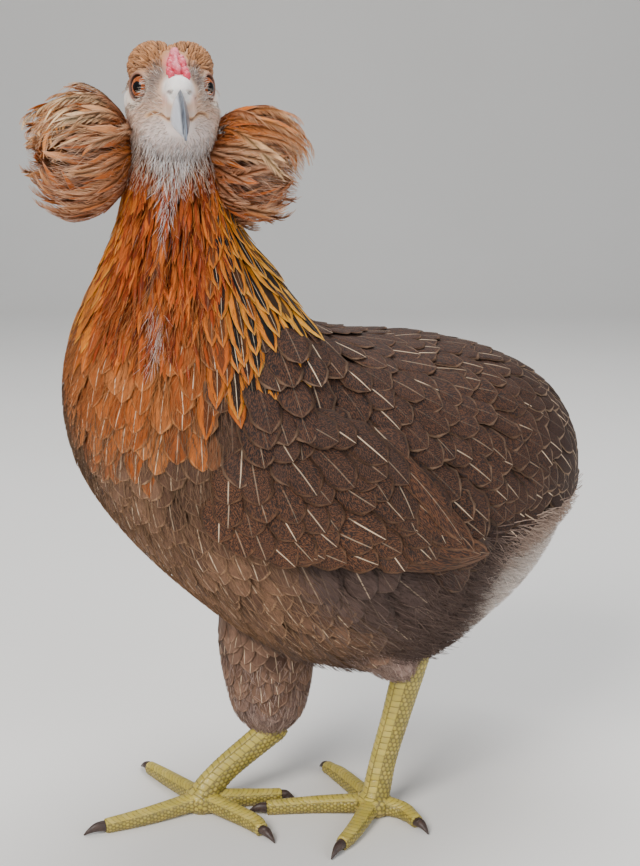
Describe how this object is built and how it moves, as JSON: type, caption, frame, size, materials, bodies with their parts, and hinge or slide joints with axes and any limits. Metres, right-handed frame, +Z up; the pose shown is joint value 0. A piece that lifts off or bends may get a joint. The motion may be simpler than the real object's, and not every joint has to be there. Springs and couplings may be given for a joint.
{
  "type": "araucana hen",
  "caption": "Still, life-size rumpless hen with ear tufts and a pea comb, standing in stride with her head turned to her left.",
  "frame": {"origin": "on the floor, under the middle of the whole bird's box", "axes": "+Z up from the floor the feet stand on; the body faces -Y, so the bird's left side is +X"},
  "size_m": [0.1842, 0.298, 0.3914],
  "materials": {
    "plumage_body": "dark brown feathers with pale shafts",
    "plumage_wing": "dark brown feathers peppered with rust",
    "plumage_hackle": "rust and gold feathers with dark centres",
    "plumage_face": "short buff and white feathers",
    "plumage_tuft": "rust and buff curled feathers",
    "plumage_thigh": "soft grey-brown feathers",
    "comb_skin": "soft pink-red skin",
    "eye_wet": "wet amber eye",
    "beak_horn": "satin horn, pale with a slate ridge",
    "leg_scale": "small yellow-green scales",
    "claw_horn": "dark satin horn"
  },
  "bodies": {
    "root": {"torso": "plumage_body", "neck": "plumage_hackle", "head": "plumage_face", "comb": "comb_skin", "beak_upper": "beak_horn", "beak_lower": "beak_horn", "eye_left": "eye_wet", "ear_tuft_left": "plumage_tuft", "wing_left": "plumage_wing", "thigh_left": "plumage_thigh", "shank_left": "leg_scale", "foot_left": "leg_scale", "toe_left_1": "leg_scale", "claw_left_1": "claw_horn", "toe_left_2": "leg_scale", "claw_left_2": "claw_horn", "toe_left_3": "leg_scale", "claw_left_3": "claw_horn", "toe_left_4": "leg_scale", "claw_left_4": "claw_horn", "eye_right": "eye_wet", "ear_tuft_right": "plumage_tuft", "wing_right": "plumage_wing", "thigh_right": "plumage_thigh", "shank_right": "leg_scale", "foot_right": "leg_scale", "toe_right_1": "leg_scale", "claw_right_1": "claw_horn", "toe_right_2": "leg_scale", "claw_right_2": "claw_horn", "toe_right_3": "leg_scale", "claw_right_3": "claw_horn", "toe_right_4": "leg_scale", "claw_right_4": "claw_horn"}
  },
  "joints": []
}
